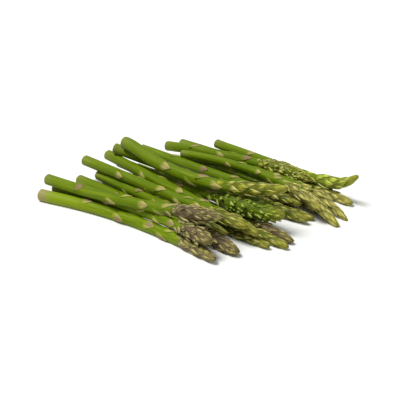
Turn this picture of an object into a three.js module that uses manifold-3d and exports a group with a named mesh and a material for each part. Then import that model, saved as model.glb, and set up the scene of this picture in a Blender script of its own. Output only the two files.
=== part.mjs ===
// A loose bundle of green asparagus, lying in a low untied heap with all its heads at one end.
// Millimetres, +Z up. +X runs from the cut butts to the heads, and the table is the plane z = 0.
// The origin is on the table, under the middle of the heap's box.
//
// Each spear grew as one piece, so it is one solid: a stem cut square at the butt, a triangular scale
// leaf at each node, and a pointed head of overlapping scales. The spears are rigid rods with a slight
// bend. They are laid down one after another, and each comes to rest on those already there.

import * as THREE from "three";
import Module from "manifold-3d";

const wasm = await Module();
wasm.setup();

// Colours, of the whole spear as seen from a few steps away
const GREEN = 0x6d9a22; // most spears
const PALE = 0x93ab3c; // the yellower ones in front
const DARK = 0x5f7f25; // those whose heads have turned olive or purple

// The heap, in the order that it is laid. butt and tip are the plan positions of the two ends, and
// rise is how far the tip ends above the butt. radius is the stem's at the butt, and head is how full
// the head is against the stem. bow is how far the middle stands off sideways (+ towards +Y), sag how
// far it hangs down, and curl how far the head turns sideways and up.
const SPEARS = [
  { butt: [-136, -58], tip: [64, -68], rise: 0, radius: 5.2, head: 1.15, bow: 13, color: PALE },
  { butt: [-134, -10], tip: [72, -47], rise: 0, radius: 4.6, head: 1.3, bow: 3, color: DARK },
  { butt: [-114, 4], tip: [85, -21], rise: 0, radius: 4.4 },
  { butt: [-107, 18], tip: [98, -13], rise: 0, radius: 4.6 },
  { butt: [-102, 35], tip: [96, -2], rise: 0, radius: 4.0, head: 1.1, color: DARK },
  { butt: [-112, 50], tip: [50, 28], rise: 0, radius: 3.6 },
  { butt: [-102, 69], tip: [87, 48], rise: 0, radius: 3.6 },
  { butt: [-90, 82], tip: [102, 58], rise: 0, radius: 4.2, bow: 13, color: DARK },
  { butt: [-115, 126], tip: [100, 95], rise: 0, radius: 4.6, bow: 5 },
  { butt: [-73, 130], tip: [102, 98], rise: 4, radius: 4.2, head: 1.4, headLength: 52, curl: [0, 12] },
  {
    butt: [-133, -43], tip: [58, -65], rise: 6, radius: 4.4,
    head: 1.3, headLength: 38, bow: 10, color: DARK,
  },
  { butt: [-117, -2], tip: [53, -36], rise: 2, radius: 4.2 },
  { butt: [-120, 33], tip: [80, 9], rise: 2, radius: 4.8, head: 2.1, headLength: 72, bow: -6 },
  {
    butt: [-138, -47], tip: [55, -45], rise: 12, radius: 4.7,
    head: 1.3, headLength: 50, bow: -3, sag: 3, color: DARK,
  },
  { butt: [-130, 27], tip: [75, -22], rise: -9, radius: 4.6, head: 1.25 },
  { butt: [-118, 25], tip: [87, 38], rise: -20, radius: 4.6, head: 1.2, sag: 5, bow: 8 },
  {
    butt: [-88, 92], tip: [110, 66], rise: 0, radius: 3.6,
    head: 1.2, headLength: 50, bow: 8, sag: -8, curl: [0, -8],
  },
  {
    butt: [-76, 84], tip: [110, 50], rise: 0, radius: 3.8,
    head: 1.4, headLength: 50, bow: 4, sag: -6, curl: [0, -10],
  },
  { butt: [-124, 72], tip: [73, 50], rise: 0, radius: 4.8, head: 1.25, headLength: 54, color: PALE },
  { butt: [-72, 71], tip: [94, 46], rise: 2, radius: 3.4, head: 1.4, bow: 6, sag: -6, curl: [0, -4] },
  { butt: [-135, 0], tip: [67, -27], rise: 0, radius: 4.6, head: 1.2 },
  { butt: [-112, 98], tip: [54, 98], rise: 8, radius: 4.6, head: 1.6, headLength: 52, sag: -4 },
  {
    butt: [-105, 26], tip: [83, 8], rise: 2, radius: 5.6,
    head: 1.15, headLength: 62, bow: -6, sag: 14, color: PALE,
  },
];

// One spear
const SIDES = 8; // round the stem
const RING_STEP = 36; // between rings of the bare stem
const HEAD_RINGS = [0.18, 0.4, 0.62, 0.8, 0.92]; // shares of the head's length from its neck
const HEAD_LENGTH = 44; // of most heads
const NECK = 0.86; // the stem's radius where the head starts, over the butt's
const BELLY_AT = 0.3; // share of the head's length where it is fullest
const TAPER = 1.7; // how late the head narrows: 1 is early, more is later
const POINT_RADIUS = 0.6; // of the blunt end of the head
const CURL_FROM = 0.76; // share of the spear's length where a curl starts
const CORE = 0.84; // what the scales stand on, over the head's full radius
const NEARBY = 0.005; // share of the length over which the centre line's direction is taken

// Scale leaves: lengths and sinks over the spear's radius, half turns in radians round the stem, and
// the widest place as a share of the leaf's length from its base
const HEAD_SCALE = { long: 2.3, halfTurn: 1.0, widestAt: 0.35, sunk: 0.2 };
const STEM_SCALE = { long: 1.9, halfTurn: 0.85, widestAt: 0.12, sunk: 0.08 };
const KEEL_AT = 0.45; // share of the leaf's length where its keel bends
const KEEL_STAND = 0.8; // the keel's stand there, over the point's
const FIRST_SCALE = 1; // from the tip to the apex of the nearest scale
const SCALE_STEP = 2.3; // between scales at the tip,
const STEP_GROWTH = 0.045; // growing by this share of the distance from the tip
const STEP_CURVE = 0.0009; // and by this share of its square
const LAST_SCALE = 22; // least distance from the butt to a scale's base
const TURN = THREE.MathUtils.degToRad(137.5); // from each scale to the next
const STAND = 0.35; // how far a scale's ridge and point stand off the stem
const ROOT = 1.4; // how deep a scale's root is sunk

// The heap
const GAP = 0.9; // between spears that lie on each other
const PRESSED = 0.25; // how far a stem's underside is flattened by the table
const SAMPLE = 2.5; // spacing of the points where contact is looked for
const BALANCE = 0.44; // share of a spear's length at its centre of gravity
const PLAY = 4; // how far a spear tips from its given rise to lie lower
const CLOSE_ENOUGH = 0.01; // when the search for that rise stops

const UP = new THREE.Vector3(0, 0, 1);

// The spear's outer radius at a distance from its tip.
function radiusAt(spear, fromTip) {
  const { radius, head, headLength, length } = spear;
  const neck = NECK * radius;
  if (fromTip >= headLength) {
    const down = (fromTip - headLength) / (length - headLength);
    return THREE.MathUtils.lerp(neck, radius, down);
  }
  const up = 1 - fromTip / headLength;
  const belly = neck * head;
  if (up < BELLY_AT)
    return THREE.MathUtils.lerp(neck, belly, THREE.MathUtils.smoothstep(up, 0, BELLY_AT));
  const narrowing = (up - BELLY_AT) / (1 - BELLY_AT);
  return POINT_RADIUS + (belly - POINT_RADIUS) * Math.sqrt(1 - narrowing ** TAPER);
}

// The centre line: the point at share t of the way from butt to tip.
function spineAt(spear, t, low = spear.low, rise = spear.rise) {
  const { butt, tip, heading, bow = 0, sag = 0, curl = [0, 0] } = spear;
  const middle = 4 * t * (1 - t);
  const turned = (Math.max(0, t - CURL_FROM) / (1 - CURL_FROM)) ** 2;
  const aside = bow * middle + curl[0] * turned;
  return new THREE.Vector3(
    THREE.MathUtils.lerp(butt[0], tip[0], t) - heading.y * aside,
    THREE.MathUtils.lerp(butt[1], tip[1], t) + heading.x * aside,
    low + rise * t - sag * middle + curl[1] * turned,
  );
}

// Where a spear would touch: spheres along its centre line.
function samplesOf(spear, low, rise) {
  const count = Math.ceil(spear.length / SAMPLE);
  return Array.from({ length: count + 1 }, (_, i) => {
    const t = i / count;
    const reach = radiusAt(spear, spear.length * (1 - t));
    return { t, at: spineAt(spear, t, low, rise), reach };
  });
}

// How far the spear must be lifted at each sample to clear the table and every spear below.
function liftsNeeded(samples, laid) {
  return samples.map(({ t, at, reach }) => {
    let lift = reach - PRESSED - at.z;
    for (const other of laid)
      for (const below of other.samples) {
        const apart = reach + below.reach + GAP;
        const dx = at.x - below.at.x;
        const dy = at.y - below.at.y;
        const flat = dx * dx + dy * dy;
        if (flat < apart * apart)
          lift = Math.max(lift, below.at.z + Math.sqrt(apart * apart - flat) - at.z);
      }
    return { t, lift };
  });
}

// The lowest straight line, at the balance point, that is above every lift and near the given rise.
function restOn(lifts, rise) {
  const heightAt = (slope) =>
    Math.max(...lifts.map(({ t, lift }) => lift - slope * (t - BALANCE)));
  let least = rise - PLAY;
  let most = rise + PLAY;
  while (most - least > CLOSE_ENOUGH) {
    const third = (most - least) / 3;
    if (heightAt(least + third) < heightAt(most - third)) most -= third;
    else least += third;
  }
  const slope = (least + most) / 2;
  return { low: heightAt(slope) - slope * BALANCE, rise: slope };
}

// Lays the spears in order.
function layHeap() {
  const laid = [];
  for (const given of SPEARS) {
    const butt = new THREE.Vector2(...given.butt);
    const tip = new THREE.Vector2(...given.tip);
    const spear = {
      head: 1,
      headLength: HEAD_LENGTH,
      color: GREEN,
      ...given,
      length: butt.distanceTo(tip),
      heading: tip.sub(butt).normalize(),
    };
    const rest = restOn(liftsNeeded(samplesOf(spear, 0, 0), laid), given.rise);
    Object.assign(spear, rest);
    spear.samples = samplesOf(spear);
    laid.push(spear);
  }
  return laid;
}

// A point beside the spear's centre line: by distance from the tip, turn round the stem from its upper
// side, and distance out.
function beside(spear, fromTip, turn, out) {
  const t = 1 - fromTip / spear.length;
  const centre = spineAt(spear, t);
  const along = spineAt(spear, t + NEARBY).sub(spineAt(spear, t - NEARBY)).normalize();
  const upper = UP.clone().addScaledVector(along, -UP.dot(along)).normalize();
  const side = along.clone().cross(upper);
  return centre
    .addScaledVector(upper, out * Math.cos(turn))
    .addScaledVector(side, out * Math.sin(turn));
}

function solid(points, faces) {
  const vertProperties = new Float32Array(points.flatMap((p) => p.toArray()));
  const triVerts = new Uint32Array(faces.flat());
  return new wasm.Manifold(new wasm.Mesh({ numProp: 3, vertProperties, triVerts }));
}

// The stem and the core of the head: rings of points, closed by a flat butt and a point.
function stemAndCore(spear) {
  const { headLength } = spear;
  const stemLength = spear.length - headLength;
  const steps = Math.ceil(stemLength / RING_STEP);
  const stations = [];
  for (let i = 0; i <= steps; i++)
    stations.push({ fromTip: spear.length - (stemLength * i) / steps, share: 1 });
  for (const up of HEAD_RINGS) stations.push({ fromTip: headLength * (1 - up), share: CORE });
  const roundness = 1 / Math.sqrt(Math.cos(Math.PI / SIDES)); // corners out, flats in, by as much
  const points = stations.flatMap(({ fromTip, share }) =>
    Array.from({ length: SIDES }, (_, j) =>
      beside(
        spear,
        fromTip,
        (2 * Math.PI * j) / SIDES,
        radiusAt(spear, fromTip) * share * roundness,
      ),
    ),
  );
  const faces = [];
  for (let i = 0; i + 1 < stations.length; i++)
    for (let j = 0; j < SIDES; j++) {
      const a = i * SIDES + j;
      const b = i * SIDES + ((j + 1) % SIDES);
      faces.push([a, b, b + SIDES], [a, b + SIDES, a + SIDES]);
    }
  const last = (stations.length - 1) * SIDES;
  const point = points.push(beside(spear, 0, 0, 0)) - 1;
  for (let j = 0; j < SIDES; j++) faces.push([last + j, last + ((j + 1) % SIDES), point]);
  for (let j = 1; j + 1 < SIDES; j++) faces.push([0, j + 1, j]);
  return solid(points, faces);
}

// A scale leaf: a keeled triangle that lies along the stem, with its root sunk into it.
function scaleLeaf(spear, apexFromTip, turn) {
  const leaf = apexFromTip < spear.headLength ? HEAD_SCALE : STEM_SCALE;
  const long = leaf.long * spear.radius;
  const at = (share, aside, out) => {
    const fromTip = apexFromTip + long * (1 - share);
    return beside(spear, fromTip, turn + aside, radiusAt(spear, fromTip) + out);
  };
  const sunk = -leaf.sunk * spear.radius;
  const points = [
    at(0, 0, sunk),
    at(leaf.widestAt, -leaf.halfTurn, sunk),
    at(leaf.widestAt, leaf.halfTurn, sunk),
    at(KEEL_AT, 0, STAND * KEEL_STAND),
    at(1, 0, STAND),
    at(KEEL_AT, 0, sunk - ROOT),
  ];
  const [base, left, right, keel, apex, root] = points.keys();
  return solid(points, [
    [base, right, keel],
    [base, keel, left],
    [left, keel, apex],
    [keel, right, apex],
    [right, base, root],
    [apex, right, root],
    [left, apex, root],
    [base, left, root],
  ]);
}

// Places the scales up the spear, closer and closer towards the tip, each turned on from the last.
function scalesOf(spear, index) {
  const scales = [];
  let turn = index; // a different start on each spear
  let fromTip = FIRST_SCALE;
  while (spear.length - fromTip - STEM_SCALE.long * spear.radius > LAST_SCALE) {
    scales.push(scaleLeaf(spear, fromTip, turn));
    turn += TURN;
    fromTip += SCALE_STEP + STEP_GROWTH * fromTip + STEP_CURVE * fromTip ** 2;
  }
  return scales;
}

// A solid with what lies below the table taken off.
function pressedFlat(made) {
  return made.trimByPlane([0, 0, 1], 0);
}

function spearMesh(spear, index) {
  const whole = scalesOf(spear, index).reduce((body, scale) => body.add(scale), stemAndCore(spear));
  const { vertProperties, triVerts } = pressedFlat(whole).getMesh();
  const geometry = new THREE.BufferGeometry();
  geometry.setAttribute("position", new THREE.BufferAttribute(vertProperties, 3));
  geometry.setIndex(new THREE.BufferAttribute(triVerts, 1));
  const color = new THREE.Color(spear.color);
  const mesh = new THREE.Mesh(
    geometry,
    new THREE.MeshStandardMaterial({ color, roughness: 0.5, metalness: 0 }),
  );
  mesh.name = `spear_${String(index + 1).padStart(2, "0")}`;
  return mesh;
}

const heap = new THREE.Group();
layHeap().forEach((spear, index) => heap.add(spearMesh(spear, index)));

const box = new THREE.Box3().setFromObject(heap);
const middle = box.getCenter(new THREE.Vector3());
heap.position.set(-middle.x, -middle.y, -box.min.z);

export default heap;
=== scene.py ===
"""A loose bundle of green asparagus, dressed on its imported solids.

Each spear is one skin: a faintly ribbed stem with a cut butt, scale leaves up the stem, and a head of
many overlapping scales, with buds between them where it has opened. The centre lines and the stems'
thicknesses are read from the solids. What differs from spear to spear, such as how far a head has
opened, is in LOOKS.
"""

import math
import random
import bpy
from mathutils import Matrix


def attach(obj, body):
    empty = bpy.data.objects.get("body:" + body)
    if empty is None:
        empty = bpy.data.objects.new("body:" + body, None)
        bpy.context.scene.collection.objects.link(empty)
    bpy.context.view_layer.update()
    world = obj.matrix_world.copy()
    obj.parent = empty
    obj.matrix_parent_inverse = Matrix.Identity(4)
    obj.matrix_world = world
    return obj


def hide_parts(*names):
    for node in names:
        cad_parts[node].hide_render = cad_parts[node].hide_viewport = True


bl_info = {
    "name": "Asparagus bundle",
    "version": (1, 0, 0),
    "blender": (4, 5, 0),
    "location": "View3D > Sidebar > Asparagus",
    "description": "Builds a loose bundle of fresh asparagus spears, with its stage",
    "category": "Add Mesh",
}

from collections import namedtuple

import bpy
import numpy as np
from mathutils import Vector

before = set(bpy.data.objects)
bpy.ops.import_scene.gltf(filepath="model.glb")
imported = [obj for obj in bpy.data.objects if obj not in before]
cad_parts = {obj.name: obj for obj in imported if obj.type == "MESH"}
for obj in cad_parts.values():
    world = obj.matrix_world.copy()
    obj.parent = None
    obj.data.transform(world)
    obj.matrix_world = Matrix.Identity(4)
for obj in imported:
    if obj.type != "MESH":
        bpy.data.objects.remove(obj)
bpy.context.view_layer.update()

MM = 0.001

# A spear's outline: shares of the stem's radius and of the head's length, and the blunt end's radius
NECK = 0.86
BELLY_AT = 0.3
POINT_RADIUS = 0.6 * MM

# The head's core under its scales, over the outline, and the share of the head in which it narrows to it
CORE = 0.9
CORE_EASE = 0.12

# How far the highest scales reach past the tip, and the share of a spear's length where its end turns up
BEYOND_TIP = 1.4 * MM
LIFT_FROM = 0.88

# Turn from one scale or leaf to the next
TURN = math.radians(137.5)

# Reading a solid's centre line. DIRECTION_STEP is half the share of the length that gives a direction.
SECTIONS = 70
END_MARGIN = 0.012
LINE_DEGREE = 7
BUTT_SECTIONS = 4
DIRECTION_STEP = 0.004

# Ribs along the stem: how many go round it, the broad ones' share, the fine ones' twist over a metre, and
# how fast ribs fade and the head's colour comes in over the head's length
BROAD_RIBS = 5
FINE_RIBS = 8
BROAD_SHARE = 0.6
FINE_TWIST = 9
RIBS_FADE = 8
HEAD_TINT = 6

# The stem's ends: where its tube ends before the tip, the cut end's bevel and smallest ring, and how far
# in from its rim its rings lie
TUBE_END = 0.4 * MM
BEVEL = 0.35 * MM
CUT_MIDDLE = 0.05 * MM
CUT_INSETS = (1.0, 0.55, 0.0)

# Swell of the stem under a leaf: its place and length over the stem's radius, and its half turn
SWELL_DOWN = 1.3
SWELL_LONG = 1.1
SWELL_WIDE = 0.7

# Places of the leaves' points, in millimetres from the tip, as in the solids: the first, the step at the
# tip and how it grows, the leafless butt, and the length, over the radius, that a leaf needs above it
FIRST_LEAF = 1.0
LEAF_STEP = 2.3
STEP_GROWTH = 0.045
STEP_CURVE = 0.0009
LEAF_FREE_BUTT = 22.0
LEAF_LONG = 1.9

# The leaves that are drawn start at this share of the head's length. Lengths and half widths are over the
# radius, and LEAF_OPENED is how far a leaf stands away over its length.
LEAVES_FROM = 0.9
LEAF_LENGTHS = (2.5, 3.2)
LEAF_HALF_WIDTHS = (1.2, 1.5)
LEAF_OPENED = 0.015

# Outline of a scale: its width at the root over the full width, how fast it widens, how late it narrows
ROOT_WIDTH = 0.78
ROOT_GROWTH = 1.2
NARROWING = 1.5
LEAST_WIDTH = 0.02

# A scale's half turn round the spear: how far from its point, over its length, the spear's radius is
# taken for it, and its limit
RADIUS_AT = 0.6
MOST_HALF_TURN = 1.45

# How far a scale stands off: at its root, at its point, and more at the point of a loose one. LOOSE is the
# opening, over its length, from which a scale counts as fully loose. RIDGE_RISE is how fast its ridge
# rises from the core to the outline, and OPENING_CURVE how late along it the opening comes.
STAND_ROOT = 0.15 * MM
STAND_POINT = 0.2 * MM
STAND_LOOSE = 0.5 * MM
LOOSE = 0.14
RIDGE_RISE = 1.6
OPENING_CURVE = 1.8

# A scale's dome: where its curve starts, and the share of its full height on a closed scale and what a
# loose one adds
DOME_START = 0.05
DOME_CLOSED = 0.35
DOME_LOOSE = 0.9

# How far a scale's edges drop from its ridge: in the head, more on a loose one, and on the stem, and how
# close to the edge they drop
HEAD_EDGE_DROP = 0.4
LOOSE_EDGE_DROP = 0.3
LEAF_EDGE_DROP = 1.1
EDGE_CURVE = 3

# How deep a scale's root sinks in, over which share of its length, how much its edges thin out, and how
# close to the edge
ROOT_SUNK = 0.9 * MM
ROOT_SHARE = 0.12
EDGE_THINNING = 0.8
THINNING_CURVE = 4

# Scales of the head: their length and half width at its point, how each grows with the distance from it,
# and their spreads. Widths are for a spear of the usual radius, and a fuller head's scales are wider.
SCALE_LONG = 10.5 * MM
SCALE_LONGER = 0.12
SCALE_LENGTHS = (0.8, 1.2)
SCALE_HALF_WIDTH = 2.7 * MM
SCALE_WIDER = 0.05
SCALE_WIDTHS = (0.85, 1.15)
USUAL_RADIUS = 4.4 * MM
FULL_WIDENING = 0.25
CROWDING_GROWTH = 0.045
TURN_SPREAD = 0.3

# How the scales open: the spread, the share at the head's point, and how soon down the head they open
# fully
OPENINGS = (0.5, 1.5)
POINT_OPENED = 0.35
OPENED_RISE = 2.2

# Buds of an opened head: how many beside a scale, up to which share of the head, and their places, turns,
# lengths, thicknesses and leans
BUDS_A_SCALE = 3
BUDS_END = 0.92
BUD_PLACES = (0.1, 0.6)
BUD_TURN = 1.2
BUD_LENGTHS = (2.4, 4.2)
BUD_THICKNESSES = (0.7, 1.1)
BUD_LEANS = (0.2, 0.5)

# Form of a bud: its plumpness is part of a sine curve, with a small radius left at its point. SMALL_TURN
# finds the direction beside it.
BUD_ROOT = 0.12
BUD_SPAN = 0.86
BUD_CURVE = 0.8
BUD_POINT = 0.05 * MM
SMALL_TURN = 0.05

# Grid of one scale and of one bud
SCALE_ROWS = 9
SCALE_COLUMNS = 7
BUD_ROWS = 6
BUD_SIDES = 7

# Marks for the colours: how far up a scale a bud counts as, at its root and more at its point, which also
# sets the painted shade at its root, and the chance value of the skin between the scales
BUD_REACH = 0.25
BUD_REACH_RISE = 0.4
EVEN_CHANCE = 0.5

# Noise in the skin. Its grain is drawn out along the spear by GRAIN_ALONG.
Noise = namedtuple("Noise", "scale detail")
GRAIN_ALONG = 0.06
STREAKS = Noise(0.9, 3.0)
FIBRES = Noise(3.2, 2.0)
BLOTCHES = Noise(0.35, 2.0)
MOTTLING = Noise(1.5, 3.0)

# A cover is where a pattern begins to show, where it shows in full, and how strongly
Cover = namedtuple("Cover", "low high strength")

# Stems
STEM_STREAKS = Cover(0.4, 0.66, 0.85)
STEM_BLOTCHES = Cover(0.5, 0.7, 0.35)
BUTT_PALING = {"green": Cover(0.0, 0.5, 0.15), "pale": Cover(0.0, 0.5, 0.75)}
BUTT_DRYING = {"green": Cover(0.02, 0.1, 0.2), "pale": Cover(0.02, 0.1, 0.9)}
DRYING_FRAY = 0.04
CUT_FIBRES = Cover(0.4, 0.7, 1.0)

# Stem leaves: what their rim, mottling and chance add to the cream, where a leaf's own colour shows over
# the stem's green, and how its edges fade into it
CREAM_RIM = 0.7
CREAM_MOTTLE = 0.9
CREAM_CHANCE = 0.5
LEAF_CREAM = Cover(0.7, 1.15, 1.0)
LEAF_BODY = Cover(0.5, 0.95, 1.0)
BODY_MOTTLE = 0.8
LEAF_EDGE = Cover(0.35, 1.0, 0.7)
LEAF_STRENGTH = 0.85

# Heads. The shade is the head's own colour and a deep one, each darkened by its factor. It is painted shade
# at the scales' roots and on the core between them, and the head's own darker tone in its lines and points.
HEAD_BROWNING = Cover(0.48, 0.66, 0.4)
SCALE_GREENING = 0.4
DARK_LINES = Cover(0.38, 0.5, 0.7)
PALE_LINES = Cover(0.52, 0.64, 0.5)
DARK_POINTS = Cover(0.8, 1.4, 0.6)
POINTS_BLOTCH = 0.5
# Painted shade: darkens the roots of scales and buds, and the head's core, where the overlapping scales hide
# them
PAINTED_SHADE_ROOTS = Cover(0.1, 0.6, 0.75)
PALE_EDGES = Cover(0.6, 0.95, 0.7)
RIPE_POINT = Cover(0.9, 1.0, 0.4)
BROWN_RIPE_POINT = Cover(0.9, 1.0, 0.15)
SHADE_OWN = 0.15
SHADE_DEEP = 0.22

# Heads whose shade is brown, not green
BROWN_HEADS = ("grey", "purple", "brown", "tan")

# Finish of the skin: its roughness, what fibres and leaves add to it, and the fibres' depth in the bump
ROUGHNESS = 0.4
FIBRE_ROUGHNESS = 0.16
LEAF_ROUGHNESS = 0.12
FIBRE_DEPTH = 0.12 * MM
BUMP_STRENGTH = 0.6
SPECULAR = 0.1

# Stage: the floor's finish and sides, and the nearest that the camera sees
FLOOR_ROUGHNESS = 0.9
FLOOR_SIDES = 96
CLIP_START = 10 * MM

# One spear's own looks. full is the head's fullness over the stem's, and stem and head name colours.
# opened is how far the head's scales stand away, and buds is the chance of buds beside each scale.
# coarse is the size of the head's scales, taper how late the head narrows, the more the later, and lift
# how far the head's point turns up.
Look = namedtuple("Look", "head_length full stem head opened buds coarse taper lift")


def look(
    head_length=44,
    full=1.0,
    stem="green",
    head="olive",
    opened=0.05,
    buds=0.0,
    coarse=1.0,
    taper=1.6,
    lift=0.0,
):
    """The looks of one spear, with its head's length and lift given in millimetres."""
    return Look(head_length * MM, full, stem, head, opened, buds, coarse, taper, lift * MM)


LOOKS = {
    "spear_01": look(full=1.2, stem="pale", head="tan", opened=0.03),
    "spear_02": look(full=1.65, head="purple", opened=0.12, coarse=0.85, taper=1.8),
    "spear_03": look(full=1.2, head="olive", opened=0.06, taper=1.25),
    "spear_04": look(full=1.2, head="lime", opened=0.05, taper=1.2),
    "spear_05": look(full=1.6, head="brown", opened=0.1, taper=1.2),
    "spear_06": look(head="olive"),
    "spear_07": look(full=1.4, head="lime", opened=0.06),
    "spear_08": look(full=1.25, head="khaki", opened=0.06),
    "spear_09": look(full=1.25, head="khaki", opened=0.07),
    "spear_10": look(50, 1.85, head="fresh", opened=0.03, taper=0.95, lift=4.5),
    "spear_11": look(38, 1.6, head="grey", opened=0.2, buds=0.2, coarse=0.75, taper=2.2),
    # spear_12's head colour is painted shade: a darker green for a head lying in the shadow of the heads
    # above it
    "spear_12": look(full=1.3, head="dark", opened=0.09),
    "spear_13": look(72, 2.6, head="bright", opened=0.22, buds=1.0, coarse=0.5, taper=2.4),
    "spear_14": look(50, 1.5, head="grey", opened=0.18, buds=0.2, coarse=0.75),
    "spear_15": look(full=1.35, head="lime", opened=0.03),
    "spear_16": look(full=1.35, head="olive", opened=0.03),
    "spear_17": look(50, 1.4, head="khaki", opened=0.09, taper=1.2),
    "spear_18": look(50, 1.6, head="khaki", opened=0.1, taper=1.2),
    "spear_19": look(54, 1.4, head="olive", opened=0.05),
    "spear_20": look(full=1.5, head="khaki", opened=0.09, taper=1.25),
    "spear_21": look(full=1.35, head="lime", opened=0.03),
    "spear_22": look(54, 1.8, head="loose", opened=0.24, buds=1.0, coarse=0.55),
    "spear_23": look(62, 1.25, head="yellow", opened=0.03),
}

GROUPS = {
    "lowest": ("spear_01", "spear_02", "spear_03", "spear_04", "spear_05"),
    "middle": ("spear_06", "spear_07", "spear_08", "spear_16", "spear_19"),
    "back": ("spear_09", "spear_10", "spear_22"),
    "front": ("spear_11", "spear_12", "spear_14", "spear_21", "spear_15"),
    "drooping": ("spear_17", "spear_18", "spear_20"),
    "top": ("spear_13", "spear_23"),
}


def linear(hex_colour):
    """The scene colour of a colour written as six hexadecimal digits."""
    shares = [int(hex_colour[i : i + 2], 16) / 255 for i in (0, 2, 4)]
    return tuple(s / 12.92 if s <= 0.04045 else ((s + 0.055) / 1.055) ** 2.4 for s in shares)


def colour_property(name, description, hex_colour):
    return bpy.props.FloatVectorProperty(
        name=name,
        description=description,
        subtype="COLOR",
        size=3,
        min=0,
        max=1,
        default=linear(hex_colour),
    )


def length_property(name, description, default):
    return bpy.props.FloatProperty(name=name, description=description, default=default, unit="LENGTH")


def angle_property(name, description, degrees):
    return bpy.props.FloatProperty(
        name=name, description=description, default=math.radians(degrees), subtype="ANGLE"
    )


class AsparagusSizes(bpy.types.PropertyGroup):
    """Sizes of the fine parts of a spear"""

    ring_step: length_property("Ring step", "Distance between the stem's rings", 1.8 * MM)
    stem_sides: bpy.props.IntProperty(name="Stem sides", description="Sides round the stem", default=28)
    rib_depth: length_property("Rib depth", "Depth of the faint ribs along the stem", 0.1 * MM)
    node_swell: length_property("Node swell", "How far a bud lifts the stem under its leaf", 0.65 * MM)
    plumpness: length_property("Plumpness", "How much thicker the skin is than the solid", 0.45 * MM)
    leaf_thickness: length_property("Leaf thickness", "Thickness of a scale leaf", 0.3 * MM)
    leaf_dome: length_property("Leaf dome", "How far a scale bulges over its bud", 0.34 * MM)
    crowding: length_property("Crowding", "Distance between the head's scales at its point", 1.2 * MM)


class AsparagusColours(bpy.types.PropertyGroup):
    """Colours of stems, leaves and heads"""

    stem_green: colour_property("Stem green", "Most stems", "617600")
    stem_pale: colour_property("Stem pale", "The yellower stem in front", "728800")
    stem_deep: colour_property("Stem deep", "Streaks along every stem", "506a00")
    stem_light: colour_property("Stem light", "Stems towards the butt", "879a1c")
    leaf_tan: colour_property("Leaf tan", "Scale leaves on the stem", "b4ab62")
    leaf_purple: colour_property("Leaf purple", "Darker parts of the scale leaves", "8c6c5c")
    cut_face: colour_property("Cut face", "The cut end", "b8a778")
    dried_end: colour_property("Dried end", "The stem beside its cut end", "9a8a62")
    head_olive: colour_property("Head olive", "Olive heads", "76781c")
    head_lime: colour_property("Head lime", "Yellow-green heads", "8a8c1c")
    head_tan: colour_property("Head tan", "The front spear's head", "7e743e")
    head_khaki: colour_property("Head khaki", "Pale heads at the back and the right", "c8be62")
    head_yellow: colour_property("Head yellow", "The top spear's head", "9b9c26")
    head_bright: colour_property("Head bright", "The thick ruffled head", "8eae26")
    head_loose: colour_property("Head loose", "The loose head at the upper right", "a2ae30")
    head_fresh: colour_property("Head fresh", "The upturned head at the right", "bcd034")
    # Painted shade: a darker green for the head that lies in the shadow of the heads above it
    head_dark: colour_property("Head dark", "The dark green head in the second layer", "5c6420")
    head_brown: colour_property("Head brown", "The lowest brown head", "705e40")
    head_grey: colour_property("Head grey", "Grey-brown opened heads", "746648")
    head_purple: colour_property("Head purple", "The darkest head", "685840")
    head_point: colour_property("Head point", "The yellow points of the heads", "aaa440")
    scale_edge: colour_property("Scale edge", "Thin edges of the head's scales", "e4dc8c")


class AsparagusStage(bpy.types.PropertyGroup):
    """Camera, lights and floor"""

    azimuth: angle_property("Azimuth", "Camera's turn round the bundle", 36)
    elevation: angle_property("Elevation", "Camera's height as an angle", 24)
    distance: length_property("Distance", "From the camera to its target", 0.8)
    target: bpy.props.FloatVectorProperty(
        name="Target",
        description="What the camera looks at",
        default=(14.1 * MM, -32.6 * MM, 15 * MM),
        subtype="TRANSLATION",
        size=3,
    )
    lens: bpy.props.FloatProperty(name="Lens", description="Focal length in millimetres", default=82.26)
    key_strength: bpy.props.FloatProperty(
        name="Key light", description="Strength of the main light", default=3.25
    )
    key_softness: angle_property("Key softness", "Angle that the main light covers", 26)
    key_from: bpy.props.FloatVectorProperty(
        name="Key from",
        description="Direction from which the main light comes",
        default=(-0.34, -0.3, 1.0),
        subtype="DIRECTION",
        size=3,
    )
    sky_strength: bpy.props.FloatProperty(name="Sky", description="Strength of the even light", default=0.42)
    floor_colour: colour_property("Floor", "The pale floor", "ebebe9")
    floor_radius: length_property("Floor radius", "Radius of the round floor", 20.0)


class Socket:
    """One output of a material's node. Arithmetic on it adds the Math nodes."""

    def __init__(self, shader, output):
        self.shader = shader
        self.output = output

    def maths(self, operation, *values):
        return self.shader.add("ShaderNodeMath", {"operation": operation}, dict(enumerate(values)))

    def __add__(self, other):
        return self.maths("ADD", self, other)

    def __sub__(self, other):
        return self.maths("SUBTRACT", self, other)

    def __rsub__(self, other):
        return self.maths("SUBTRACT", other, self)

    def __mul__(self, other):
        return self.maths("MULTIPLY", self, other)

    def __pow__(self, other):
        return self.maths("POWER", self, other)

    __radd__ = __add__
    __rmul__ = __mul__


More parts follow.
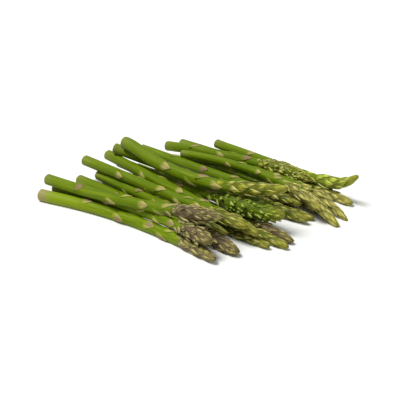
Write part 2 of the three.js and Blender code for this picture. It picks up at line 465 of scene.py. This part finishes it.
class Shader:
    """A material and the means to add nodes to it."""

    def __init__(self, name):
        self.material = bpy.data.materials.new(name)
        self.material.use_nodes = True
        self.tree = self.material.node_tree
        self.surface = self.tree.nodes["Principled BSDF"]

    def add(self, kind, settings=None, inputs=None, output=0):
        node = self.tree.nodes.new(kind)
        for key, value in (settings or {}).items():
            setattr(node, key, value)
        for key, value in (inputs or {}).items():
            self.feed(node.inputs[key], value)
        return Socket(self, node.outputs[output])

    def feed(self, target, value):
        if isinstance(value, Socket):
            self.tree.links.new(value.output, target)
        elif hasattr(value, "__len__") and len(value) == 3 and target.type == "RGBA":
            target.default_value = (*value, 1)
        else:
            target.default_value = value

    def number(self, name):
        return self.add("ShaderNodeAttribute", {"attribute_name": name}, output="Fac")

    def vector(self, name):
        return self.add("ShaderNodeAttribute", {"attribute_name": name}, output="Vector")

    def noise(self, place, kind):
        inputs = {"Vector": place, "Scale": kind.scale, "Detail": kind.detail}
        return self.add("ShaderNodeTexNoise", inputs=inputs)

    def smooth(self, value, cover):
        """0 where value is under the cover's low end, 1 over its high end, softly between."""
        return self.add(
            "ShaderNodeMapRange",
            {"interpolation_type": "SMOOTHSTEP"},
            {"Value": value, "From Min": cover.low, "From Max": cover.high},
        )

    def rising(self, value, cover):
        """The cover's strength where value is high, 0 where it is low."""
        return self.smooth(value, cover) * cover.strength

    def falling(self, value, cover):
        """The cover's strength where value is low, 0 where it is high."""
        return (1 - self.smooth(value, cover)) * cover.strength

    def mix(self, share, first, second):
        """first where share is 0, second where it is 1. A Mix node's colour sockets are 6, 7 and 2."""
        return self.add("ShaderNodeMix", {"data_type": "RGBA"}, {0: share, 6: first, 7: second}, output=2)

    def finish(self, colour, roughness, height, depth):
        self.feed(self.surface.inputs["Base Color"], colour)
        self.feed(self.surface.inputs["Roughness"], roughness)
        inputs = {"Height": height, "Distance": depth, "Strength": BUMP_STRENGTH}
        self.feed(self.surface.inputs["Normal"], self.add("ShaderNodeBump", inputs=inputs))
        return self.material


def stem_colour(shader, colours, stem, streak, blotch):
    """Green streaked lengthwise and blotched, paler towards the butt."""
    base = getattr(colours, f"stem_{stem}")
    streaked = shader.mix(shader.rising(streak, STEM_STREAKS), base, colours.stem_deep)
    blotched = shader.mix(shader.rising(blotch, STEM_BLOTCHES), streaked, colours.stem_light)
    climb = shader.number("climb")
    paled = shader.mix(shader.falling(climb, BUTT_PALING[stem]), blotched, colours.stem_light)
    drying = shader.falling(climb + streak * DRYING_FRAY, BUTT_DRYING[stem])
    return shader.mix(drying, paled, colours.dried_end)


def leaf_colour(shader, colours, stem, mottle):
    """Mottled scale leaves, purple-brown to cream, roots and edges fading into the stem's green."""
    rim = shader.number("rim")
    chance = shader.number("chance")
    creamy = shader.smooth(rim * CREAM_RIM + mottle * CREAM_MOTTLE + chance * CREAM_CHANCE, LEAF_CREAM)
    tanned = shader.mix(creamy, colours.leaf_purple, colours.leaf_tan)
    body = shader.smooth(shader.number("reach") + mottle * BODY_MOTTLE, LEAF_BODY)
    shown = body * (LEAF_STRENGTH - shader.rising(rim, LEAF_EDGE))
    return shader.mix(shown, getattr(colours, f"stem_{stem}"), tanned)


def head_colour(shader, colours, head, blotch, streak):
    """Finely streaked scales with painted shade at their roots and on the core between them, dark points and
    thin pale edges, each a little different.
    """
    base = getattr(colours, f"head_{head}")
    brown = head in BROWN_HEADS
    deep = colours.leaf_purple if brown else colours.stem_deep
    # A darkened copy of the head's colour: painted shade at the roots, the head's own dark tone in lines and
    # points
    shade = tuple(SHADE_OWN * own + SHADE_DEEP * other for own, other in zip(base, deep))
    reach = shader.number("reach")
    browned = shader.mix(shader.rising(blotch, HEAD_BROWNING), base, colours.leaf_purple)
    varied = shader.mix(shader.number("chance") * SCALE_GREENING, browned, colours.stem_green)
    shaded = shader.mix(shader.falling(streak, DARK_LINES), varied, shade)
    lined = shader.mix(shader.rising(streak, PALE_LINES), shaded, colours.scale_edge)
    pointed = shader.mix(shader.rising(reach + blotch * POINTS_BLOTCH, DARK_POINTS), lined, shade)
    # Painted shade at the roots of scales and buds and on the core between them, where the scales overlap
    painted_root_shade = shader.mix(shader.falling(reach, PAINTED_SHADE_ROOTS), pointed, shade)
    edged = shader.mix(shader.rising(shader.number("rim"), PALE_EDGES), painted_root_shade, colours.scale_edge)
    ripeness = shader.rising(shader.number("climb"), BROWN_RIPE_POINT if brown else RIPE_POINT)
    return shader.mix(ripeness, edged, colours.head_point)


def spear_material(name, colours):
    """The skin of one spear."""
    own = LOOKS[name]
    shader = Shader(f"{name}_skin")
    grain = shader.vector("grain")
    streak = shader.noise(grain, STREAKS)
    fibre = shader.noise(grain, FIBRES)
    blotch = shader.noise(grain, BLOTCHES)
    mottle = shader.noise(grain, MOTTLING)
    leaf = shader.number("leaf")
    stem = stem_colour(shader, colours, own.stem, streak, blotch)
    on_stem = shader.mix(leaf, stem, leaf_colour(shader, colours, own.stem, mottle))
    on_head = head_colour(shader, colours, own.head, blotch, streak)
    whole = shader.mix(shader.number("head"), on_stem, on_head)
    cut = shader.mix(shader.smooth(fibre, CUT_FIBRES), colours.cut_face, colours.stem_light)
    colour = shader.mix(shader.number("cut"), whole, cut)
    roughness = ROUGHNESS + fibre * FIBRE_ROUGHNESS + leaf * LEAF_ROUGHNESS
    shader.surface.inputs["Specular IOR Level"].default_value = SPECULAR
    return shader.finish(colour, roughness, fibre, FIBRE_DEPTH)


def sliced(corners, place, axis):
    """Area and centre of the section of a closed solid by the plane through place across axis."""
    height = (corners - place) @ axis
    crossing = corners[(height.min(1) < 0) & (height.max(1) >= 0)]
    height = (crossing - place) @ axis
    ends = np.zeros((len(crossing), 2, 3))
    found = np.zeros(len(crossing), int)
    for first, second in ((0, 1), (1, 2), (2, 0)):
        apart = (height[:, first] < 0) != (height[:, second] < 0)
        share = height[apart, first] / (height[apart, first] - height[apart, second])
        start = crossing[apart, first]
        cut = start + (crossing[apart, second] - start) * share[:, None]
        ends[apart, found[apart]] = cut - place
        found[apart] += 1
    facing = np.cross(crossing[:, 1] - crossing[:, 0], crossing[:, 2] - crossing[:, 0])
    forward = np.cross(axis, facing)
    backward = ((ends[:, 1] - ends[:, 0]) * forward).sum(1) < 0
    ends[backward] = ends[backward][:, ::-1]
    double = np.cross(ends[:, 0], ends[:, 1]) @ axis
    area = double.sum() / 2
    centre = ((ends[:, 0] + ends[:, 1]) * double[:, None]).sum(0) / (6 * area)
    return abs(area), place + centre


class Spear:
    """One spear's centre line and thickness, read from its solid."""

    def __init__(self, name):
        self.look = LOOKS[name]
        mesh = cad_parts[name].data
        mesh.calc_loop_triangles()
        places = np.array([v.co for v in mesh.vertices], float)
        corners = places[np.array([t.vertices for t in mesh.loop_triangles])]
        middle = places.mean(0)
        self.axis = np.linalg.svd(places - middle, full_matrices=False)[2][0]
        self.axis *= math.copysign(1, self.axis[0])
        reach = (places - middle) @ self.axis
        self.start = middle + self.axis * reach.min()
        self.length = reach.max() - reach.min()
        shares = np.linspace(END_MARGIN, 1 - END_MARGIN, SECTIONS)
        cuts = [sliced(corners, self.start + self.axis * (s * self.length), self.axis) for s in shares]
        centres = np.array([centre for _, centre in cuts])
        straight = self.start + np.outer(shares * self.length, self.axis)
        self.line = np.polyfit(shares, centres - straight, LINE_DEGREE)
        areas = np.array([area for area, _ in cuts])
        self.radius = math.sqrt(np.median(areas[:BUTT_SECTIONS]) / math.pi)

    def centre(self, share):
        share = np.asarray(share, float)
        bend = np.stack([np.polyval(self.line[:, k], share) for k in range(3)], -1)
        bend[..., 2] += self.look.lift * np.clip((share - LIFT_FROM) / (1 - LIFT_FROM), 0, None) ** 2
        return self.start + share[..., None] * self.length * self.axis + bend

    def outer(self, from_tip):
        """The spear's outer radius, scales included."""
        own = self.look
        neck = NECK * self.radius
        down = (from_tip - own.head_length) / (self.length - own.head_length)
        stem = neck + (self.radius - neck) * np.clip(down, 0, 1)
        up = np.clip(1 - from_tip / own.head_length, 0, 1)
        belly = neck * own.full
        ease = np.clip(up / BELLY_AT, 0, 1)
        widening = neck + (belly - neck) * ease * ease * (3 - 2 * ease)
        late = np.clip((up - BELLY_AT) / (1 - BELLY_AT), 0, 1)
        narrowing = POINT_RADIUS + (belly - POINT_RADIUS) * np.sqrt(1 - late**own.taper)
        head = np.where(up < BELLY_AT, widening, narrowing)
        return np.where(from_tip >= own.head_length, stem, head)

    def beside(self, from_tip, turn, out):
        """Points by distance from the tip, turn round the stem from its upper side, and distance out."""
        share = 1 - np.asarray(from_tip, float) / self.length
        along = self.centre(share + DIRECTION_STEP) - self.centre(share - DIRECTION_STEP)
        along /= np.linalg.norm(along, axis=-1, keepdims=True)
        upper = np.array([0.0, 0.0, 1.0]) - along[..., 2:] * along
        upper /= np.linalg.norm(upper, axis=-1, keepdims=True)
        side = np.cross(along, upper)
        outward = upper * np.cos(turn)[..., None] + side * np.sin(turn)[..., None]
        return self.centre(share) + outward * np.asarray(out)[..., None]


class Skin:
    """A mesh in the making: tubes of rings, with named values at the points."""

    MARKS = ("leaf", "head", "reach", "rim", "chance", "climb", "cut")

    def __init__(self):
        self.points = []
        self.faces = []
        self.marks = {mark: [] for mark in self.MARKS}
        self.grain = []
        self.count = 0

    def tube(self, rings, grain, **marks):
        """Rings of points, (rows, columns, 3), closed round and capped at both ends."""
        rows, columns = rings.shape[:2]
        first = self.count
        for row in range(rows - 1):
            for column in range(columns):
                a = first + row * columns + column
                b = first + row * columns + (column + 1) % columns
                self.faces.append((a, b, b + columns, a + columns))
        last = first + (rows - 1) * columns
        self.faces.append(tuple(range(first + columns - 1, first - 1, -1)))
        self.faces.append(tuple(range(last, last + columns)))
        self.points.append(rings.reshape(-1, 3))
        self.grain.append(grain.reshape(-1, 3))
        for mark in self.MARKS:
            values = np.broadcast_to(marks.get(mark, 0.0), (rows, columns))
            self.marks[mark].append(values.reshape(-1))
        self.count += rows * columns

    def made(self, name, material):
        points = np.concatenate(self.points)
        points[:, 2] = np.maximum(points[:, 2], 0)
        mesh = bpy.data.meshes.new(name)
        mesh.from_pydata(points.tolist(), [], self.faces)
        mesh.polygons.foreach_set("use_smooth", [True] * len(mesh.polygons))
        for mark, values in self.marks.items():
            attribute = mesh.attributes.new(mark, "FLOAT", "POINT")
            attribute.data.foreach_set("value", np.concatenate(values).astype(np.float32))
        attribute = mesh.attributes.new("grain", "FLOAT_VECTOR", "POINT")
        attribute.data.foreach_set("vector", np.concatenate(self.grain).astype(np.float32).ravel())
        mesh.materials.append(material)
        mesh.update()
        piece = bpy.data.objects.new(name, mesh)
        bpy.context.scene.collection.objects.link(piece)
        return piece


def grain_of(from_tip, turn, out, seed):
    """Where the skin's fibres are sampled: in millimetres, drawn out along the spear."""
    across = np.cos(turn) * out / MM
    round_it = np.sin(turn) * out / MM
    along = from_tip / MM * GRAIN_ALONG + seed
    return np.stack(np.broadcast_arrays(across, round_it, along), -1)


def stem_leaves(spear, start_turn):
    """Places of the leaves up the stem: distance of each one's point from the tip, and its turn."""
    places = []
    turn = start_turn
    from_tip = FIRST_LEAF
    longest = spear.length / MM - LEAF_LONG * spear.radius / MM - LEAF_FREE_BUTT
    while from_tip < longest:
        if from_tip * MM > LEAVES_FROM * spear.look.head_length:
            places.append((from_tip * MM, turn))
        turn += TURN
        from_tip += LEAF_STEP + STEP_GROWTH * from_tip + STEP_CURVE * from_tip**2
    return places


def swelling(spear, from_tip, around, point_at, leaf_turn):
    """How much of the node's swell there is at a place near the leaf at point_at."""
    lengthwise = (from_tip - point_at - SWELL_DOWN * spear.radius) / (SWELL_LONG * spear.radius)
    sideways = np.arctan2(np.sin(around - leaf_turn), np.cos(around - leaf_turn)) / SWELL_WIDE
    return np.exp(-(lengthwise**2) - sideways**2)


def stem_ribs(gap, around, seed):
    """Height of the ribs at a place on the stem, from -1 to 1."""
    broad = np.cos(BROAD_RIBS * around + seed)
    fine = np.cos(FINE_RIBS * around - 2 * seed + FINE_TWIST * gap)
    return broad * BROAD_SHARE + fine * (1 - BROAD_SHARE)


def add_stem(skin, spear, sizes, leaves, seed):
    """The stem, its cut end and the core of the head."""
    rows = int(spear.length / sizes.ring_step)
    from_tip = np.linspace(spear.length, TUBE_END, rows)
    turn = np.linspace(0, 2 * math.pi, sizes.stem_sides, endpoint=False)
    gap, around = np.meshgrid(from_tip, turn, indexing="ij")
    in_head = np.clip(1 - gap / spear.look.head_length, 0, 1)
    out = spear.outer(gap) * (1 - (1 - CORE) * np.clip(in_head / CORE_EASE, 0, 1))
    out += stem_ribs(gap, around, seed) * sizes.rib_depth * np.clip(1 - in_head * RIBS_FADE, 0, 1)
    out += sizes.plumpness
    for point_at, leaf_turn in leaves:
        out += sizes.node_swell * swelling(spear, gap, around, point_at, leaf_turn)
    ends = len(CUT_INSETS)
    gap[0] = spear.length - BEVEL
    gap = np.vstack([np.full((ends, sizes.stem_sides), spear.length), gap])
    out = np.vstack([*(np.maximum(out[0] * (1 - inset) - BEVEL, CUT_MIDDLE) for inset in CUT_INSETS), out])
    around = np.vstack([around[:1]] * ends + [around])
    cut = np.zeros_like(gap)
    cut[:ends] = 1
    # With no reach mark, the head's core under the scales takes the full painted shade of the scales' roots
    skin.tube(
        spear.beside(gap, around, out),
        grain_of(gap, around, out, seed),
        climb=1 - gap / spear.length,
        head=np.clip((1 - gap / spear.look.head_length) * HEAD_TINT, 0, 1),
        chance=EVEN_CHANCE,
        cut=cut,
    )


def add_scale(skin, spear, sizes, point_at, turn, long, half_width, opened, on_head, chance, seed):
    """One scale leaf: a keeled, domed, pointed leaf that wraps the spear, its root sunk into it."""
    climb = np.linspace(0, 1, SCALE_ROWS)[:, None]
    aside = np.linspace(-1, 1, SCALE_COLUMNS)[None, :]
    outline = np.minimum(1, ROOT_WIDTH + ROOT_GROWTH * climb) * (1 - climb**NARROWING)
    loose = min(1, opened / LOOSE)
    gap = np.maximum(point_at + long * (1 - climb), -BEYOND_TIP) + 0 * aside
    radius = spear.outer(gap)
    usual = np.maximum(spear.outer(point_at + long * RADIUS_AT), MM)
    around = turn + aside * np.minimum(half_width / usual, MOST_HALF_TURN) * np.maximum(outline, LEAST_WIDTH)
    low = radius * (CORE if on_head else 1.0)
    stand = STAND_ROOT + (STAND_POINT + STAND_LOOSE * loose) * climb
    arch = np.sin(math.pi * (DOME_START + (1 - 2 * DOME_START) * climb)) * (1 - aside**2)
    dome = sizes.leaf_dome * arch * (DOME_CLOSED + DOME_LOOSE * loose)
    ridge = low + (radius - low) * np.clip(climb * RIDGE_RISE, 0, 1) + stand + dome
    ridge += opened * long * climb**OPENING_CURVE
    drop = HEAD_EDGE_DROP + LOOSE_EDGE_DROP * loose if on_head else LEAF_EDGE_DROP
    top = ridge - (ridge - low) * np.abs(aside) ** EDGE_CURVE * drop
    if not on_head:
        top += sizes.plumpness + sizes.node_swell * swelling(spear, gap, around, point_at, turn)
    top -= ROOT_SUNK * np.clip(1 - climb / ROOT_SHARE, 0, 1)
    under = top - sizes.leaf_thickness * (1 - EDGE_THINNING * np.abs(aside) ** THINNING_CURVE)
    back = slice(-2, 0, -1)
    rings_gap = np.hstack([gap, gap[:, back]])
    rings_turn = np.hstack([around, around[:, back]])
    rings_out = np.hstack([top, under[:, back]])
    rim = np.abs(np.hstack([aside, aside[:, back]]))
    # reach runs from the scale's root to its point; near the root the head's colours paint shade on it
    skin.tube(
        spear.beside(rings_gap, rings_turn, rings_out),
        grain_of(rings_gap, rings_turn, rings_out, seed),
        leaf=0.0 if on_head else 1.0,
        head=1.0 if on_head else 0.0,
        reach=climb,
        rim=rim,
        chance=chance,
        climb=1 - rings_gap / spear.length,
    )


def add_bud(skin, spear, point_at, turn, long, thick, lean, chance, seed):
    """A small pointed bud that leans out between the scales of a loose head."""
    climb = np.linspace(0, 1, BUD_ROWS)[:, None]
    around = np.linspace(0, 2 * math.pi, BUD_SIDES, endpoint=False)[None, :]
    gap = np.maximum(point_at - long * climb, 0.0)
    out = spear.outer(np.full_like(climb, point_at)) * CORE + lean * long * climb
    plump = thick * np.sin(math.pi * (BUD_ROOT + BUD_SPAN * climb) ** BUD_CURVE) + BUD_POINT
    here = spear.beside(gap, np.full_like(gap, turn), out)
    aside = spear.beside(gap, np.full_like(gap, turn + SMALL_TURN), out) - here
    aside /= np.linalg.norm(aside, axis=-1, keepdims=True)
    onward = np.gradient(here[:, 0], axis=0)[:, None]
    onward /= np.linalg.norm(onward, axis=-1, keepdims=True)
    away = np.cross(aside, onward)
    rings = here + away * (np.cos(around) * plump)[..., None] + aside * (np.sin(around) * plump)[..., None]
    skin.tube(
        rings,
        grain_of(gap + 0 * around, turn + around, plump + 0 * around, seed),
        head=1.0,
        reach=BUD_REACH + BUD_REACH_RISE * climb,
        chance=chance,
        climb=1 - (gap + 0 * around) / spear.length,
    )


def add_buds(skin, spear, draw, point_at, turn, long, seed):
    """The buds beside one scale of an opened head."""
    for _ in range(BUDS_A_SCALE):
        add_bud(
            skin,
            spear,
            point_at + long * draw.uniform(*BUD_PLACES),
            turn + draw.uniform(-BUD_TURN, BUD_TURN),
            draw.uniform(*BUD_LENGTHS) * MM,
            draw.uniform(*BUD_THICKNESSES) * MM,
            draw.uniform(*BUD_LEANS),
            draw.random(),
            seed,
        )


def add_head(skin, spear, sizes, draw, seed):
    """The head: scales that crowd together towards the point, with buds between them if it has opened."""
    own = spear.look
    fullness = spear.radius / USUAL_RADIUS * (1 - FULL_WIDENING + FULL_WIDENING * own.full)
    turn = seed
    point_at = -BEYOND_TIP
    while point_at < own.head_length:
        down = point_at / own.head_length
        long = (SCALE_LONG + SCALE_LONGER * point_at) * own.coarse * draw.uniform(*SCALE_LENGTHS)
        half_width = (SCALE_HALF_WIDTH + SCALE_WIDER * point_at) * own.coarse * draw.uniform(*SCALE_WIDTHS)
        opening = POINT_OPENED + (1 - POINT_OPENED) * min(1, OPENED_RISE * down)
        opened = own.opened * draw.uniform(*OPENINGS) * opening
        chance = draw.random()
        add_scale(skin, spear, sizes, point_at, turn, long, half_width * fullness, opened, True, chance, seed)
        if draw.random() < own.buds and 1 - down < BUDS_END:
            add_buds(skin, spear, draw, point_at, turn, long, seed)
        turn += TURN + draw.uniform(-TURN_SPREAD, TURN_SPREAD)
        point_at += (sizes.crowding + CROWDING_GROWTH * point_at) * own.coarse


def build_spear(name):
    """Builds one spear's skin, in place of its plain solid."""
    scene = bpy.context.scene
    sizes = scene.asparagus_sizes
    number = int(name.split("_")[1])
    draw = random.Random(number)
    spear = Spear(name)
    skin = Skin()
    leaves = stem_leaves(spear, number - 1)
    add_stem(skin, spear, sizes, leaves, number)
    for point_at, turn in leaves:
        long = spear.radius * draw.uniform(*LEAF_LENGTHS)
        half_width = spear.radius * draw.uniform(*LEAF_HALF_WIDTHS)
        chance = draw.random()
        add_scale(skin, spear, sizes, point_at, turn, long, half_width, LEAF_OPENED, False, chance, number)
    add_head(skin, spear, sizes, draw, number)
    piece = skin.made(f"{name}_skin", spear_material(name, scene.asparagus_colours))
    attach(piece, "root")
    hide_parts(name)


class SpearsOperator:
    """What the operators of the groups of spears share."""

    bl_options = {"REGISTER", "UNDO"}
    group = ""

    def execute(self, context):
        for name in GROUPS[self.group]:
            build_spear(name)
        return {"FINISHED"}


class ASPARAGUS_OT_lowest(SpearsOperator, bpy.types.Operator):
    """Build the lowest spears in front"""

    bl_idname = "asparagus.lowest"
    bl_label = "Lowest spears"
    group = "lowest"


class ASPARAGUS_OT_middle(SpearsOperator, bpy.types.Operator):
    """Build the spears in the middle of the heap"""

    bl_idname = "asparagus.middle"
    bl_label = "Middle spears"
    group = "middle"


class ASPARAGUS_OT_back(SpearsOperator, bpy.types.Operator):
    """Build the spears at the back"""

    bl_idname = "asparagus.back"
    bl_label = "Back spears"
    group = "back"


class ASPARAGUS_OT_front(SpearsOperator, bpy.types.Operator):
    """Build the second layer in front"""

    bl_idname = "asparagus.front"
    bl_label = "Front spears"
    group = "front"


class ASPARAGUS_OT_drooping(SpearsOperator, bpy.types.Operator):
    """Build the thin spears whose heads droop over the pile"""

    bl_idname = "asparagus.drooping"
    bl_label = "Drooping spears"
    group = "drooping"


class ASPARAGUS_OT_top(SpearsOperator, bpy.types.Operator):
    """Build the thick spears on top"""

    bl_idname = "asparagus.top"
    bl_label = "Top spears"
    group = "top"


def make_floor(stage):
    """A plain pale round floor."""
    turns = [2 * math.pi * side / FLOOR_SIDES for side in range(FLOOR_SIDES)]
    rim = [(stage.floor_radius * math.cos(t), stage.floor_radius * math.sin(t), 0) for t in turns]
    mesh = bpy.data.meshes.new("floor")
    mesh.from_pydata(rim, [], [tuple(range(FLOOR_SIDES))])
    shader = Shader("floor_paper")
    shader.feed(shader.surface.inputs["Base Color"], tuple(stage.floor_colour))
    shader.surface.inputs["Roughness"].default_value = FLOOR_ROUGHNESS
    shader.surface.inputs["Specular IOR Level"].default_value = SPECULAR
    mesh.materials.append(shader.material)
    floor = bpy.data.objects.new("floor", mesh)
    bpy.context.scene.collection.objects.link(floor)


def make_lights(stage):
    """One large soft light from high on the viewer's left, and an even pale sky."""
    data = bpy.data.lights.new("key", "SUN")
    data.energy = stage.key_strength
    data.angle = stage.key_softness
    key = bpy.data.objects.new("key", data)
    key.rotation_mode = "QUATERNION"
    key.rotation_quaternion = Vector(stage.key_from).to_track_quat("Z", "Y")
    bpy.context.scene.collection.objects.link(key)
    world = bpy.data.worlds.new("sky")
    world.use_nodes = True
    sky = world.node_tree.nodes["Background"]
    sky.inputs["Color"].default_value = (1, 1, 1, 1)
    sky.inputs["Strength"].default_value = stage.sky_strength
    bpy.context.scene.world = world


def make_camera(stage):
    """The camera, at the photograph's viewing angle."""
    data = bpy.data.cameras.new("camera")
    data.lens = stage.lens
    data.clip_start = CLIP_START
    camera = bpy.data.objects.new("camera", data)
    flat = math.cos(stage.elevation)
    back = Vector(
        (math.sin(stage.azimuth) * flat, -math.cos(stage.azimuth) * flat, math.sin(stage.elevation))
    )
    camera.location = Vector(stage.target) + back * stage.distance
    camera.rotation_mode = "QUATERNION"
    camera.rotation_quaternion = back.to_track_quat("Z", "Y")
    bpy.context.scene.collection.objects.link(camera)
    bpy.context.scene.camera = camera


class ASPARAGUS_OT_stage(bpy.types.Operator):
    """Make the floor, the lights and the camera"""

    bl_idname = "asparagus.stage"
    bl_label = "Stage"
    bl_options = {"REGISTER", "UNDO"}

    def execute(self, context):
        stage = context.scene.asparagus_stage
        make_floor(stage)
        make_lights(stage)
        make_camera(stage)
        context.scene.view_settings.view_transform = "Standard"
        return {"FINISHED"}


class ASPARAGUS_PT_panel(bpy.types.Panel):
    """Lists what builds the bundle"""

    bl_idname = "ASPARAGUS_PT_panel"
    bl_label = "Asparagus bundle"
    bl_space_type = "VIEW_3D"
    bl_region_type = "UI"
    bl_category = "Asparagus"

    def draw(self, context):
        for operator in BUILDERS:
            self.layout.operator(operator.bl_idname)
        for settings in ("asparagus_sizes", "asparagus_colours", "asparagus_stage"):
            group = getattr(context.scene, settings)
            for key in group.bl_rna.properties.keys():
                if key not in ("rna_type", "name"):
                    self.layout.prop(group, key)


BUILDERS = (
    ASPARAGUS_OT_lowest,
    ASPARAGUS_OT_middle,
    ASPARAGUS_OT_back,
    ASPARAGUS_OT_front,
    ASPARAGUS_OT_drooping,
    ASPARAGUS_OT_top,
    ASPARAGUS_OT_stage,
)
SETTINGS = (AsparagusSizes, AsparagusColours, AsparagusStage)
CLASSES = (*SETTINGS, *BUILDERS, ASPARAGUS_PT_panel)


def register():
    for made in CLASSES:
        bpy.utils.register_class(made)
    bpy.types.Scene.asparagus_sizes = bpy.props.PointerProperty(type=AsparagusSizes)
    bpy.types.Scene.asparagus_colours = bpy.props.PointerProperty(type=AsparagusColours)
    bpy.types.Scene.asparagus_stage = bpy.props.PointerProperty(type=AsparagusStage)


def unregister():
    del bpy.types.Scene.asparagus_stage
    del bpy.types.Scene.asparagus_colours
    del bpy.types.Scene.asparagus_sizes
    for made in reversed(CLASSES):
        bpy.utils.unregister_class(made)


def main():
    register()
    bpy.ops.asparagus.lowest()
    bpy.ops.asparagus.middle()
    bpy.ops.asparagus.back()
    bpy.ops.asparagus.front()
    bpy.ops.asparagus.drooping()
    bpy.ops.asparagus.top()
    bpy.ops.asparagus.stage()
    bpy.context.view_layer.update()


if __name__ == "__main__":
    main()
